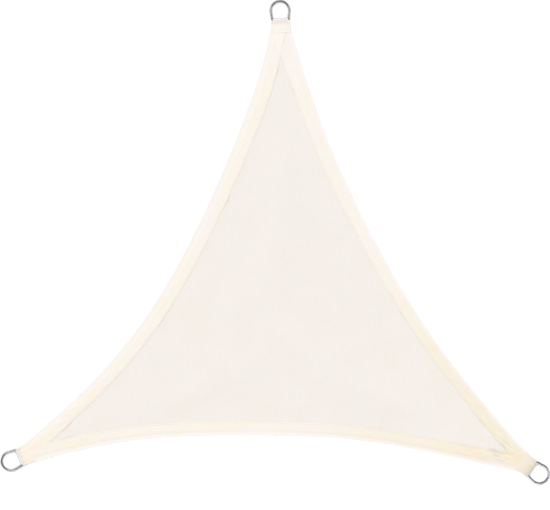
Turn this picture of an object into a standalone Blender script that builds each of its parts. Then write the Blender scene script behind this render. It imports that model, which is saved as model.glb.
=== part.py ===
"""A triangular shade sail laid flat on the ground.

One cloth panel has three edges that curve inwards, each with a wide turned hem. At each
corner a short strap of doubled cloth is folded round the bar of a welded steel D-ring, and
grips the corner of the panel between its two legs.

Metres, +Z up. The sail lies on z = 0 with one corner towards +Y, and the origin is under the
middle of the bounding box.
"""

import math
from collections import namedtuple

import bmesh
import bpy
from mathutils import Vector

# Spans between the bars of the rings: they set the triangle.
LEFT_SPAN = 1.854
RIGHT_SPAN = 1.872
BASE_SPAN = 1.865

# Each corner: the way its ring faces, and where the plain cloth inside the hems comes to a
# point, as a distance back from the bar and the bearing from that point to the bar.
Corner = namedtuple("Corner", "name facing_deg point_back point_facing_deg")
CORNERS = (
    Corner("top", 94.0, 0.150, 92.1),
    Corner("left", 204.2, 0.139, 207.5),
    Corner("right", 325.0, 0.130, 332.6),
)

# Each edge, anticlockwise: how far it curves in, how much of that leans to its start, the
# slow wobble that the sewing leaves in it, and the width of its hem at mid-length.
Edge = namedtuple("Edge", "name start end sag lean wobble waves phase_deg hem")
EDGES = (
    Edge("left", "top", "left", 0.1495, -0.127, 0.0049, 1.5, 77.0, 0.053),
    Edge("bottom", "left", "right", 0.119, 0.137, 0.0034, 2.0, 320.0, 0.051),
    Edge("right", "right", "top", 0.114, 0.041, 0.0012, 2.5, 114.0, 0.049),
)

# Cloth.
CLOTH_THICKNESS = 0.0012
HEM_THICKNESS = 0.0026
NECK_WIDTH = 0.071  # the panel's cut corner, under the strap
NECK_BACK = 0.026  # the curved edges start this far behind the bar
CUT_BACK = 0.012  # and the panel's corner is cut off here
POINT_WIDTH = 0.008  # the plain cloth's points are this blunt
WOBBLE_EASE = 0.08  # an edge's wobble dies out over this share of it at each end
WAVE_EASE = 0.2  # and the waves over this share of the way in from the hems
EDGE_LIFT = 0.0006  # the fold at the panel's edge is round below too
LIFT_BACK = 0.062  # it lies on the strap's lower leg up to here behind the bar
LIFT_RUN = 0.070  # and comes down to the ground over this run

# Shallow waves that the flat cloth keeps, each a long low ridge about a point that is
# measured from the triangle's centroid.
Wave = namedtuple("Wave", "x y half_length half_width bearing_deg height")
WAVES = (
    Wave(0.00, 0.36, 0.34, 0.060, 88.0, 0.0032),
    Wave(-0.30, -0.30, 0.30, 0.055, 34.0, 0.0028),
    Wave(0.36, -0.30, 0.32, 0.060, 148.0, 0.0034),
    Wave(0.05, -0.40, 0.38, 0.070, 2.0, 0.0024),
    Wave(-0.14, 0.02, 0.26, 0.060, 62.0, 0.0026),
)

# Corner straps.
STRAP_THICKNESS = 0.0015
STRAP_WIDTH = 0.070
STRAP_FOLD_WIDTH = 0.050  # drawn in where it passes between the ring's corners
STRAP_LENGTH = 0.048
STRAP_FLARE = 0.017  # it reaches its full width this far behind the bar
STRAP_SETTLE = 0.020  # and its upper leg comes down onto the cloth here

# D-rings.
WIRE = 0.009
RING_WIDTH = 0.077
RING_HEIGHT = 0.078
RING_CORNER_RADIUS = 0.006
RING_LEAN_DEG = 8.0

# Room between pieces.
GAP = 0.0003
BAR_CLEARANCE = 0.0007

# How finely the shapes are cut.
EDGE_SEGMENTS = 34
NECK_SEGMENTS = 4
END_CROWDING = 0.50  # shortens an edge's segments towards its ends
BODY_SHRINKS = (0.97, 0.88, 0.76, 0.62, 0.48, 0.34, 0.20, 0.08)
STRAP_COLUMNS = 8
FOLD_SEGMENTS = 10
LEG_SEGMENTS = 7
CROWN_SEGMENTS = 27
CORNER_SEGMENTS = 5
WIRE_RESOLUTION = 4
WIRE_SIDES = 4 + 2 * WIRE_RESOLUTION

# Depth across the hem from the cut edge, 0, to the stitched edge, 1, with the share of the
# hem's thickness there and the share of the edge's lift.
HemRow = namedtuple("HemRow", "depth thickness lift")
HEM_ROWS = (
    HemRow(0.0, 0.50, 1.0),
    HemRow(0.04, 0.90, 0.2),
    HemRow(0.12, 1.0, 0.0),
    HemRow(0.32, 1.0, 0.0),
    HemRow(0.60, 1.0, 0.0),
    HemRow(0.94, 1.0, 0.0),
    HemRow(1.0, CLOTH_THICKNESS / HEM_THICKNESS, 0.0),
)

BAR_HEIGHT = STRAP_THICKNESS + BAR_CLEARANCE + WIRE / 2
CLOTH_LIFT = STRAP_THICKNESS + GAP


def clear_scene():
    for obj in list(bpy.data.objects):
        bpy.data.objects.remove(obj, do_unlink=True)


def new_collection(name):
    collection = bpy.data.collections.new(name)
    bpy.context.scene.collection.children.link(collection)
    return collection


def plain_material(name, colour, roughness, metallic=0.0):
    material = bpy.data.materials.new(name)
    material.use_nodes = True
    shader = material.node_tree.nodes["Principled BSDF"]
    shader.inputs["Base Color"].default_value = (*colour, 1.0)
    shader.inputs["Roughness"].default_value = roughness
    shader.inputs["Metallic"].default_value = metallic
    material.diffuse_color = (*colour, 1.0)
    return material


def smooth_step(value):
    value = min(max(value, 0.0), 1.0)
    return value * value * (3.0 - 2.0 * value)


def bearing(degrees):
    angle = math.radians(degrees)
    return Vector((math.cos(angle), math.sin(angle)))


def bar_centres():
    """The middle of each ring's bar, from the triangle's three sides, in plan."""
    x = (LEFT_SPAN**2 - RIGHT_SPAN**2 + BASE_SPAN**2) / (2 * BASE_SPAN)
    y = math.sqrt(LEFT_SPAN**2 - x**2)
    base = Vector((-BASE_SPAN / 2, -y / 3))
    return {
        "left": base,
        "right": base + Vector((BASE_SPAN, 0.0)),
        "top": base + Vector((x, y)),
    }


BARS = bar_centres()
CORNER_NAMED = {corner.name: corner for corner in CORNERS}


def behind_bar(corner, back, aside):
    """A point this far back from the bar, and this far to the left of the way it faces."""
    facing = bearing(corner.facing_deg)
    left = Vector((-facing.y, facing.x))
    return BARS[corner.name] - facing * back + left * aside


def cloth_point(corner, aside):
    """The point of the plain cloth inside the hems, blunted by this much to the left."""
    facing = bearing(corner.point_facing_deg)
    left = Vector((-facing.y, facing.x))
    return BARS[corner.name] - facing * corner.point_back + left * aside


def sagging(edge, start, end, sag, share):
    """The point at this share of the way along an edge that curves in by sag."""
    chord = end - start
    inwards = Vector((-chord.y, chord.x)).normalized()
    bow = 4.0 * sag * share * (1.0 - share) * (1.0 + edge.lean * (1.0 - 2.0 * share))
    wobble = edge.wobble * math.sin(math.tau * edge.waves * share + math.radians(edge.phase_deg))
    ease = smooth_step(min(share, 1.0 - share) / WOBBLE_EASE)
    return start + chord * share + inwards * (bow + wobble * ease)


def shares_along():
    """Shares of an edge's length that crowd towards its ends."""
    for step in range(EDGE_SEGMENTS + 1):
        share = step / EDGE_SEGMENTS
        yield share - END_CROWDING * math.sin(math.tau * share) / math.tau


def outer_edge(edge):
    """The cut edge of the panel from one corner to the next, ends included."""
    start, end = CORNER_NAMED[edge.start], CORNER_NAMED[edge.end]
    half = NECK_WIDTH / 2
    first = behind_bar(start, NECK_BACK, half)
    last = behind_bar(end, NECK_BACK, -half)
    points = [sagging(edge, first, last, edge.sag, share) for share in shares_along()]
    return [behind_bar(start, CUT_BACK, half), *points, behind_bar(end, CUT_BACK, -half)]


def inner_edge(edge, outer):
    """The stitched edge of the hem, with one point for each point of the cut edge."""
    start = cloth_point(CORNER_NAMED[edge.start], POINT_WIDTH / 2)
    end = cloth_point(CORNER_NAMED[edge.end], -POINT_WIDTH / 2)
    chord = end - start
    inwards = Vector((-chord.y, chord.x)).normalized()
    deepest = max((point - start).dot(inwards) for point in outer)
    sag = deepest + edge.hem
    run = [0.0]
    for before, after in zip(outer, outer[1:]):
        run.append(run[-1] + (after - before).length)
    return [sagging(edge, start, end, sag, distance / run[-1]) for distance in run]


def across(start, end, segments):
    """The points between two ends, which are left out."""
    return [start.lerp(end, step / segments) for step in range(1, segments)]


def closed_loop(sides):
    """One closed loop: the three sides, each joined to the next across its corner."""
    points = []
    for side, following in zip(sides, [*sides[1:], sides[0]]):
        points += side + across(side[-1], following[0], NECK_SEGMENTS)
    return points


def hem_loops():
    """The closed loops of the cut edge and of the hems' stitched edge, in plan."""
    outer = [outer_edge(edge) for edge in EDGES]
    inner = [inner_edge(edge, side) for edge, side in zip(EDGES, outer)]
    return closed_loop(outer), closed_loop(inner)


def corner_lift(point):
    """How far the cloth rises onto the lower leg of the nearest strap."""
    lift = 0.0
    for corner in CORNERS:
        back = (BARS[corner.name] - point).dot(bearing(corner.facing_deg))
        near = (BARS[corner.name] - point).length < 3 * STRAP_LENGTH
        if near:
            lift = max(lift, 1.0 - smooth_step((back - LIFT_BACK) / LIFT_RUN))
    return CLOTH_LIFT * lift


def wave_height(point):
    """The height of the shallow waves in the plain cloth."""
    height = 0.0
    for wave in WAVES:
        along = bearing(wave.bearing_deg)
        offset = point - Vector((wave.x, wave.y))
        run = offset.dot(along) / wave.half_length
        side = offset.dot(Vector((-along.y, along.x))) / wave.half_width
        height += wave.height * math.exp(-(run**2) - side**2)
    return height


def loft(name, loops, centre):
    """A surface through closed loops of like length, closed in the middle by a fan."""
    shape = bmesh.new()
    rows = [[shape.verts.new(point) for point in loop] for loop in loops]
    for outer, inner in zip(rows, rows[1:]):
        for index, vertex in enumerate(outer):
            ahead = (index + 1) % len(outer)
            shape.faces.new((vertex, outer[ahead], inner[ahead], inner[index]))
    middle = shape.verts.new(centre)
    last = rows[-1]
    for index, vertex in enumerate(last):
        shape.faces.new((vertex, last[(index + 1) % len(last)], middle))
    mesh = bpy.data.meshes.new(name)
    shape.to_mesh(mesh)
    shape.free()
    return mesh


def sail_cloth(collection, material):
    """The panel: its under side is lofted, and a Solidify gives each point its thickness."""
    outer, inner = hem_loops()
    centre = sum(inner, Vector((0.0, 0.0))) / len(inner)
    loops, thickness = [], []
    for row in HEM_ROWS:
        plan = [cut.lerp(stitched, row.depth) for cut, stitched in zip(outer, inner)]
        loops.append([(*point, corner_lift(point) + EDGE_LIFT * row.lift) for point in plan])
        thickness.append(row.thickness)
    for shrink in BODY_SHRINKS:
        plan = [centre.lerp(point, shrink) for point in inner]
        calm = smooth_step((1.0 - shrink) / WAVE_EASE)
        loops.append(
            [(*point, corner_lift(point) + calm * wave_height(point)) for point in plan]
        )
        thickness.append(CLOTH_THICKNESS / HEM_THICKNESS)

    mesh = loft("sail_cloth", loops, (*centre, wave_height(centre)))
    cloth = bpy.data.objects.new("sail_cloth", mesh)
    collection.objects.link(cloth)
    group = cloth.vertex_groups.new(name="thickness")
    per_loop = len(outer)
    for row, share in enumerate(thickness):
        group.add(range(row * per_loop, (row + 1) * per_loop), share, "REPLACE")
    group.add([len(mesh.vertices) - 1], thickness[-1], "REPLACE")

    solidify = cloth.modifiers.new("thickness", "SOLIDIFY")
    solidify.thickness = HEM_THICKNESS
    solidify.offset = 1.0
    solidify.vertex_group = group.name
    mesh.shade_smooth()
    mesh.materials.append(material)
    return cloth


def strap_profile():
    """The strap's middle line from its lower end, round the bar, to its upper end, as
    (distance in front of the bar, height)."""
    half = STRAP_THICKNESS / 2
    bend = WIRE / 2 + BAR_CLEARANCE + half
    resting = CLOTH_LIFT + HEM_THICKNESS + GAP + half
    legs = [step / LEG_SEGMENTS for step in range(LEG_SEGMENTS + 1)]
    lower = [(-STRAP_LENGTH * (1.0 - share), half) for share in legs[:-1]]
    fold = []
    for step in range(FOLD_SEGMENTS + 1):
        angle = math.pi * (step / FOLD_SEGMENTS - 0.5)
        fold.append((bend * math.cos(angle), BAR_HEIGHT + bend * math.sin(angle)))
    top = BAR_HEIGHT + bend
    upper = []
    for share in legs[1:]:
        settled = smooth_step(share)
        upper.append((-STRAP_SETTLE * share, top + (resting - top) * settled))
    rest = STRAP_LENGTH - STRAP_SETTLE
    tail = [(-STRAP_SETTLE - rest * share, resting) for share in (0.5, 1.0)]
    return lower + fold + upper + tail


def strap_half_width(front):
    share = smooth_step((-front - WIRE / 2) / (STRAP_FLARE - WIRE / 2))
    return (STRAP_FOLD_WIDTH + (STRAP_WIDTH - STRAP_FOLD_WIDTH) * share) / 2


def corner_strap(corner, collection, material):
    """A grid bent along the strap's profile and drawn in at its fold."""
    profile = strap_profile()
    rows = len(profile) - 1
    shape = bmesh.new()
    bmesh.ops.create_grid(shape, x_segments=STRAP_COLUMNS, y_segments=rows, size=1.0)
    for vertex in shape.verts:
        front, height = profile[round((vertex.co.y + 1.0) / 2.0 * rows)]
        vertex.co = (vertex.co.x * strap_half_width(front), front, height)
    mesh = bpy.data.meshes.new(f"strap_{corner.name}")
    shape.to_mesh(mesh)
    shape.free()
    strap = bpy.data.objects.new(mesh.name, mesh)
    collection.objects.link(strap)
    strap.location = (*BARS[corner.name], 0.0)
    strap.rotation_euler.z = math.radians(corner.facing_deg - 90.0)
    solidify = strap.modifiers.new("thickness", "SOLIDIFY")
    solidify.thickness = STRAP_THICKNESS
    solidify.offset = 0.0
    solidify.use_even_offset = True
    mesh.shade_smooth()
    mesh.materials.append(material)
    return strap


def arc(centre, radius, first_deg, last_deg, segments):
    for step in range(segments + 1):
        angle = first_deg + (last_deg - first_deg) * step / segments
        yield centre + bearing(angle) * radius


def ring_path():
    """The wire's middle line: a bar along x through the origin, and the crown towards +y."""
    radius = (RING_WIDTH - WIRE) / 2
    crown = Vector((0.0, RING_HEIGHT - WIRE - radius))
    lean = math.radians(RING_LEAN_DEG)
    reach = radius - RING_CORNER_RADIUS + (RING_CORNER_RADIUS - crown.y) * math.sin(lean)
    corner = Vector((reach / math.cos(lean), RING_CORNER_RADIUS))
    mirrored = Vector((-corner.x, corner.y))
    first, last = -RING_LEAN_DEG, 180.0 + RING_LEAN_DEG
    return [
        *arc(corner, RING_CORNER_RADIUS, -90.0, first, CORNER_SEGMENTS),
        *arc(crown, radius, first, last, CROWN_SEGMENTS),
        *arc(mirrored, RING_CORNER_RADIUS, last, 270.0, CORNER_SEGMENTS),
    ]


def d_ring(corner, collection, material):
    """A closed wire with the bar in the strap's fold and the crown resting on the ground."""
    path = ring_path()
    curve = bpy.data.curves.new(f"d_ring_{corner.name}", "CURVE")
    curve.dimensions = "3D"
    curve.bevel_depth = WIRE / 2
    curve.bevel_resolution = WIRE_RESOLUTION
    spline = curve.splines.new("POLY")
    spline.points.add(len(path) - 1)
    for point, place in zip(spline.points, path):
        point.co = (*place, 0.0, 1.0)
        point.tilt = math.pi / WIRE_SIDES  # turns a flat of the wire to the ring's inside
    spline.use_cyclic_u = True
    spline.use_smooth = True
    ring = bpy.data.objects.new(curve.name, curve)
    collection.objects.link(ring)
    drop = math.asin((BAR_HEIGHT - WIRE / 2) / (RING_HEIGHT - WIRE))
    ring.location = (*BARS[corner.name], BAR_HEIGHT)
    ring.rotation_euler = (-drop, 0.0, math.radians(corner.facing_deg - 90.0))
    curve.materials.append(material)
    return ring


def centre_on_origin(objects, collection):
    """Hangs the pieces from an empty that puts the middle of their box over the origin."""
    root = bpy.data.objects.new("shade_sail_root", None)
    collection.objects.link(root)
    for obj in objects:
        obj.parent = root
    bpy.context.view_layer.update()
    graph = bpy.context.evaluated_depsgraph_get()
    corners = []
    for obj in objects:
        evaluated = obj.evaluated_get(graph)
        mesh = evaluated.to_mesh()
        corners += [evaluated.matrix_world @ vertex.co for vertex in mesh.vertices]
        evaluated.to_mesh_clear()
    for axis in (0, 1):
        values = [corner[axis] for corner in corners]
        root.location[axis] = -(min(values) + max(values)) / 2
    root.location.z = -min(corner.z for corner in corners)


def main():
    clear_scene()
    collection = new_collection("shade_sail")
    cloth = plain_material("cream_shade_cloth", (0.91, 0.86, 0.79), 0.85)
    webbing = plain_material("cream_strap", (0.94, 0.90, 0.82), 0.8)
    steel = plain_material("polished_steel", (0.72, 0.72, 0.74), 0.16, metallic=1.0)
    pieces = [sail_cloth(collection, cloth)]
    pieces += [corner_strap(corner, collection, webbing) for corner in CORNERS]
    pieces += [d_ring(corner, collection, steel) for corner in CORNERS]
    centre_on_origin(pieces, collection)


main()
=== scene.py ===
"""A triangular shade sail of knitted cloth, laid flat on a white studio floor.

The sail is one cut of cloth: its three edges curve inwards and are turned over into wide
hems that lap over each other at the corners. A strap of doubled cloth at each corner is
folded round the bar of a polished D-ring. Sewing, straps and rings are pieces of their own.
"""

import math
import random
from collections import namedtuple

import bpy
import numpy as np
from mathutils import Matrix, Vector, noise
from mathutils.geometry import delaunay_2d_cdt


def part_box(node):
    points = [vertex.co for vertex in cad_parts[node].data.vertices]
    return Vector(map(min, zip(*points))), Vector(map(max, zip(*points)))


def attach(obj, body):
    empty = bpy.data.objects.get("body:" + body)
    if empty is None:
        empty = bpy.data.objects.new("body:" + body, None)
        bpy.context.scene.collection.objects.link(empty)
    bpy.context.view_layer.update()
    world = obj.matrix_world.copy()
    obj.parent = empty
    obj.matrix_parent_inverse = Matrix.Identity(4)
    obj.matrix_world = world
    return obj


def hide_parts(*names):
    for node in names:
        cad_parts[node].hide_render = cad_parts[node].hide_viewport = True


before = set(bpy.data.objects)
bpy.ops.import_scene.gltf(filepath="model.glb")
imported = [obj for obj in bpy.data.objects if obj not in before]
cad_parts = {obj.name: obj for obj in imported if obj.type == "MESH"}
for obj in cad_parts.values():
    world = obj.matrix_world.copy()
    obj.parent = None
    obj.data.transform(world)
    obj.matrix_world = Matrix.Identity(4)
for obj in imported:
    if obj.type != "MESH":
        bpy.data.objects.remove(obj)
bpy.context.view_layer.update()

# ---------------------------------------------------------------- the cut of the sail
# Spans between the bars of the rings: they set the triangle.
LEFT_SPAN = 1.854
RIGHT_SPAN = 1.872
BASE_SPAN = 1.865

# Each corner: the way its ring faces, and where the plain cloth inside the hems comes to a
# point, as a distance back from the bar and the bearing from that point to the bar.
Corner = namedtuple("Corner", "name facing_deg point_back point_facing_deg")
CORNERS = (
    Corner("top", 94.0, 0.150, 92.1),
    Corner("left", 204.2, 0.139, 207.5),
    Corner("right", 325.0, 0.114, 328.2),
)
CORNER_NAMED = {corner.name: corner for corner in CORNERS}

# Each edge, anticlockwise: how far it curves in, how much of that leans to its start, the
# slow wobble that the sewing leaves in it, the width of its hem at mid-length, and the
# order in which the hems are sewn, a later one lapping over an earlier one.
Edge = namedtuple("Edge", "name start end sag lean wobble waves phase_deg hem order")
EDGES = (
    Edge("left", "top", "left", 0.1495, -0.127, 0.0049, 1.5, 77.0, 0.055, 1),
    Edge("bottom", "left", "right", 0.119, 0.137, 0.0034, 2.0, 320.0, 0.051, 2),
    Edge("right", "right", "top", 0.114, 0.041, 0.0012, 2.5, 114.0, 0.049, 0),
)
NECK_WIDTH = 0.071  # of the cloth where it comes under a strap
NECK_BACK = 0.026  # the curve of an edge ends this far behind the bar
CUT_BACK = 0.012  # and the cloth is cut off here
POINT_WIDTH = 0.008  # of the plain cloth's blunt points
WOBBLE_EASE = 0.08  # share of an edge, at each end, where its wobble dies out
CURVE_POINTS = 600

# ---------------------------------------------------------------- cloth
CLOTH = 0.0004  # thickness of one layer
LAYER = 0.00042  # rise from one layer to the next where the sewing holds them tight
FOLD_SWAY = ((0.0007, 0.070, 4.4), (0.0003, 0.024, 6.6))  # unevenness of the fold lines
WIDTH_SWAY = ((0.0013, 0.045, 8.8), (0.0006, 0.019, 5.3))  # and of the hems' widths
PUFF = 0.0003  # how much higher a hem stands between its fold and its sewing
PUCKER = 0.0012  # and where the pull of the corners puckers it
PUCKER_PITCHES = ((0.026, 0.40), (0.041, 0.34), (0.067, 0.26))  # spacings, with their shares
PUCKER_SLANT = 0.75
PUCKER_LEAST = 0.35  # share of their strength that they keep at mid-length
PUCKER_PATCHES = 0.31  # distance from one stronger stretch to the next
PUCKER_PEAK = 0.14  # how far from a hem's end the puckers are strongest
PUCKER_SPREAD = 0.16
FOLD_RADIUS = 0.00075
UNDER_RADIUS = 0.00030  # of the hem's inner edge, where its raw edge is turned under
FOLD_FULLNESS = 0.0004  # how much fuller the fold is than its two layers
FOLD_DEPTH = 0.0030  # and how deep that is
FOLD_STEP = 0.0040
HEM_REACH = 0.0025  # what lies on a hem comes down off its inner edge from this far past it
HEM_STEP = 0.0030
RAW_STEP = 0.0020  # and off the raw edge turned under it over this distance
THIRD_STEP = 0.44  # share of a hem's width over which the third sheet's colour comes in
COLUMN = 0.0055  # spacing of the mesh along a hem
BODY_STEP = 0.0090  # and in the plain cloth
HIDDEN_STEP = 0.018  # and under the hems
BESIDE_HEM = (-0.004, 0.0, 0.0025, 0.0055, 0.0085, 0.0125)  # rows of the mesh beside a hem
SEAM_INSET = 0.005  # the main row of sewing, from the hem's inner edge
TURN_IN = 0.68  # share of the hem's width that its raw edge is turned under
SETTLE_RUN = 0.006  # a hem comes down from its fold to its layers over this depth
PLEAT_EASE = 0.010  # pleats die out over this distance from the hem's two edges
LIP_DEPTH = 0.009  # a lip begins to rise this far before the inner edge
LIP_RISE = 0.0085
# Shade is painted in a band along each fold of the hems, for its rounded edge.
FOLD_SHADE_DEPTH = 0.012  # the paler band along a fold
END_COLUMNS = 8  # of the mesh, at each end of a hem, that keep to its drawn line
AT_ONCE = 2000  # points that are measured at a time
STRAP_LIFT = 0.0018  # the corners lie on the lower legs of the straps
LIFT_BACK = 0.062  # and the cloth comes down off them from here back
LIFT_RUN = 0.070
MESH_GAP = 0.004  # between the rows beside a hem and the even mesh of the plain cloth
HIDDEN_GAP = 0.014  # between those rows and the mesh under the hem
FOLD_GAP = 0.006  # and between that mesh and the fold line

# Shallow waves that the flat cloth keeps, each a long low ridge about a point that is
# measured from the triangle's centroid.
Wave = namedtuple("Wave", "x y half_length half_width bearing_deg height")
WAVES = (
    Wave(0.00, 0.36, 0.34, 0.060, 88.0, 0.0032),
    Wave(-0.30, -0.30, 0.30, 0.055, 34.0, 0.0028),
    Wave(0.36, -0.30, 0.32, 0.060, 148.0, 0.0034),
    Wave(0.05, -0.40, 0.38, 0.070, 2.0, 0.0024),
    Wave(-0.14, 0.02, 0.26, 0.060, 62.0, 0.0026),
)
SMALL_WAVES = ((0.0004, 0.075, 7.7), (0.0003, 0.035, 2.2))  # heights, scales and seeds
WAVE_CALM = 0.11  # they all die out over this distance from the hems
EDGE_WAVE = 0.0011  # how far the fold lines rise off the floor at the most
EDGE_WAVE_RUN = 0.045  # and how far in from them that reaches
BULGE = 0.0004  # height of a slight bulge of the plain cloth beside the hems
BULGE_BACK = 0.0055
BULGE_HALF_WIDTH = 0.0045
TIGHT_RADIUS = 0.050  # the corners are sewn flat this far round the bars
TIGHT_RUN = 0.050
FLATTER_FOLD, FLATTER_SETTLE, FLATTER_HEM = 0.4, 0.5, 0.8  # how much flatter a hem is there
SEWING_PULL = (0.70, 0.30)  # how far the sewing presses a hem down, and how unevenly
TINT_SLANT = 0.9  # of the streaks in the hems' colour

# Creases that the pull of a corner leaves in the plain cloth: distance back from the bar,
# distance aside, length, width, turn from the way the corner faces, and height.
Crease = namedtuple("Crease", "back aside half_length half_width turn_deg height")
CREASES = {
    "right": (
        (0.190, 0.006, 0.070, 0.0050, 8.0, 0.0012), (0.205, -0.016, 0.080, 0.0055, 16.0, 0.0010),
        (0.215, 0.030, 0.085, 0.0060, -7.0, 0.0010), (0.290, -0.006, 0.110, 0.0080, 4.0, 0.0008),
    ),
    "left": (
        (0.200, -0.004, 0.075, 0.0055, 3.0, 0.0011), (0.225, 0.022, 0.085, 0.0065, -8.0, 0.0009),
        (0.235, -0.030, 0.080, 0.0060, 10.0, 0.0009),
    ),
    "top": (
        (0.215, 0.004, 0.085, 0.0060, 1.0, 0.0010), (0.260, -0.020, 0.100, 0.0075, 5.0, 0.0008),
        (0.280, 0.022, 0.100, 0.0075, -5.0, 0.0007),
    ),
}

# Short lengths where a hem's inner edge stands up off the cloth: how far along the hem from
# its start (or, when negative, from its end), half the length, and the height.
Lip = namedtuple("Lip", "along half_length height")
LIPS = {
    "bottom": (
        (-0.128, 0.018, 0.0034), (-0.092, 0.009, 0.0028), (-0.245, 0.030, 0.0009),
        (0.520, 0.040, 0.0007), (0.180, 0.026, 0.0009),
    ),
    "left": (
        (0.160, 0.024, 0.0010), (0.655, 0.020, 0.0013), (1.130, 0.045, 0.0006),
        (-0.180, 0.024, 0.0010),
    ),
    "right": (
        (0.230, 0.028, 0.0010), (0.700, 0.050, 0.0006), (-0.230, 0.026, 0.0009),
    ),
}

# Slanted pleats across a hem: how far along it (or, when negative, from its end), how far in
# from the fold line (or, when negative, back from the inner edge), half the length and the
# width, turn from the hem's own way, and height.
Pleat = namedtuple("Pleat", "along depth half_length half_width turn_deg height")
PLEATS = {
    "left": (
        (0.655, 0.040, 0.022, 0.0042, 34.0, 0.0013), (0.245, 0.030, 0.040, 0.0060, 24.0, 0.0012),
        (0.330, 0.028, 0.036, 0.0055, 28.0, 0.0010), (0.455, 0.026, 0.032, 0.0060, 31.0, 0.0010),
        (0.560, 0.024, 0.028, 0.0055, 30.0, 0.0009), (1.020, 0.030, 0.026, 0.0060, -38.0, 0.0007),
        (-0.260, 0.028, 0.034, 0.0055, -26.0, 0.0012), (-0.180, 0.030, 0.034, 0.0050, -22.0, 0.0012),
    ),
    "bottom": (
        (0.190, 0.028, 0.036, 0.0055, 22.0, 0.0012), (0.300, 0.026, 0.030, 0.0055, 28.0, 0.0009),
        (-0.330, 0.026, 0.032, 0.0060, -26.0, 0.0010), (-0.235, 0.028, 0.038, 0.0050, -20.0, 0.0014),
        (-0.165, 0.024, 0.036, 0.0045, -16.0, 0.0015), (-0.120, -0.0165, 0.024, 0.0036, 3.0, 0.0036),
        (-0.100, -0.0300, 0.022, 0.0038, 2.0, 0.0028), (-0.166, -0.0150, 0.016, 0.0034, -4.0, 0.0026),
        (-0.150, -0.0280, 0.018, 0.0036, -6.0, 0.0020),
    ),
    "right": (
        (0.082, -0.0130, 0.018, 0.0034, 8.0, 0.0026), (0.118, -0.0120, 0.018, 0.0034, 10.0, 0.0020),
        (0.130, 0.026, 0.034, 0.0045, 20.0, 0.0014), (0.200, 0.028, 0.036, 0.0050, 24.0, 0.0014),
        (0.290, 0.026, 0.034, 0.0055, 28.0, 0.0011), (0.400, 0.026, 0.030, 0.0055, 32.0, 0.0009),
        (-0.360, 0.026, 0.036, 0.0060, -30.0, 0.0010), (-0.240, 0.028, 0.036, 0.0055, -26.0, 0.0011),
    ),
}

# ---------------------------------------------------------------- straps and rings
STRAP_THICKNESS = 0.0010
STRAP_WIDTH = 0.070
STRAP_FOLD_WIDTH = 0.050  # at its fold, between the ring's legs
STRAP_LENGTH = 0.048  # of each leg, behind the bar
STRAP_FLARE = 0.012  # it has its full width from here back
STRAP_SETTLE = 0.020  # and lies on the corner from here back
STRAP_REST = 0.0052  # height of the upper leg's middle behind its fold
WIRE = 0.009
RING_WIDTH = 0.077  # over the wire
RING_HEIGHT = 0.078  # over the wire too, from the bar to the crown
RING_CORNER_RADIUS = 0.006  # of the wire's middle line, where a leg meets the bar
RING_LEAN_DEG = 8.0  # of the legs, which spread from the bar to the crown
BAR_HEIGHT = 0.0067  # of the bar's middle over the floor
RING_EYE = 0.035  # the middle of the ring's eye, from its bar

# ---------------------------------------------------------------- the view
PICTURE_WIDTH, PICTURE_HEIGHT = 550, 510
LEFT_BAR_PX = (19.7, 456.9)
RIGHT_BAR_PX = (531.4, 468.2)
# Soft panels that only the polished rings show, as light bands along their wire: turn from
# the way the ring faces, lean from upright, distance from the ring's eye, height, width,
# length and energy.
Panel = namedtuple("Panel", "corner turn_deg lean_deg away height wide tall energy")
PANELS = (
    Panel("top", -49.0, 0.0, 0.27, 0.20, 0.80, 0.40, 0.9),
    Panel("left", -69.0, 0.0, 0.27, 0.20, 0.80, 0.40, 1.5),
    Panel("right", -100.0, 0.0, 0.27, 0.20, 0.80, 0.40, 1.9),
    Panel("top", 45.0, 20.0, 0.24, 0.22, 0.50, 0.36, 0.7),
    Panel("left", 25.0, 20.0, 0.24, 0.22, 0.60, 0.36, 0.7),
    Panel("right", 0.0, 20.0, 0.24, 0.22, 0.60, 0.36, 0.8),
)
LENS_MM = 85.0
SENSOR_MM = 36.0


def smooth(value):
    """0 below 0, 1 above 1, and an eased way between them."""
    value = np.clip(value, 0.0, 1.0)
    return value * value * (3.0 - 2.0 * value)


def bearing(degrees):
    angle = math.radians(degrees)
    return np.array((math.cos(angle), math.sin(angle)))


def left_of(way):
    return np.array((-way[1], way[0]))


def ripple(points, scale, seed):
    """Smooth unevenness between -1 and 1."""
    return np.array([noise.noise(Vector((x / scale, y / scale, seed))) for x, y in points])


def ripples(points, layers):
    """The sum of layers of unevenness, each a height, a scale and a seed."""
    return sum(height * ripple(points, scale, seed) for height, scale, seed in layers)


# ================================================================ plan of the sail
def bar_centres(shift):
    """The middle of each ring's bar, from the triangle's three sides, in plan."""
    x = (LEFT_SPAN**2 - RIGHT_SPAN**2 + BASE_SPAN**2) / (2 * BASE_SPAN)
    y = math.sqrt(LEFT_SPAN**2 - x**2)
    base = np.array((-BASE_SPAN / 2, -y / 3)) + shift
    return {
        "left": base,
        "right": base + (BASE_SPAN, 0.0),
        "top": base + (x, y),
    }


def behind_bar(bars, corner, back, aside):
    """A place behind a ring's bar and to its left, in plan."""
    facing = bearing(corner.facing_deg)
    return bars[corner.name] - facing * back + left_of(facing) * aside


def cloth_point(bars, corner, aside):
    """A place beside one point of the plain cloth."""
    facing = bearing(corner.point_facing_deg)
    return bars[corner.name] - facing * corner.point_back + left_of(facing) * aside


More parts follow.
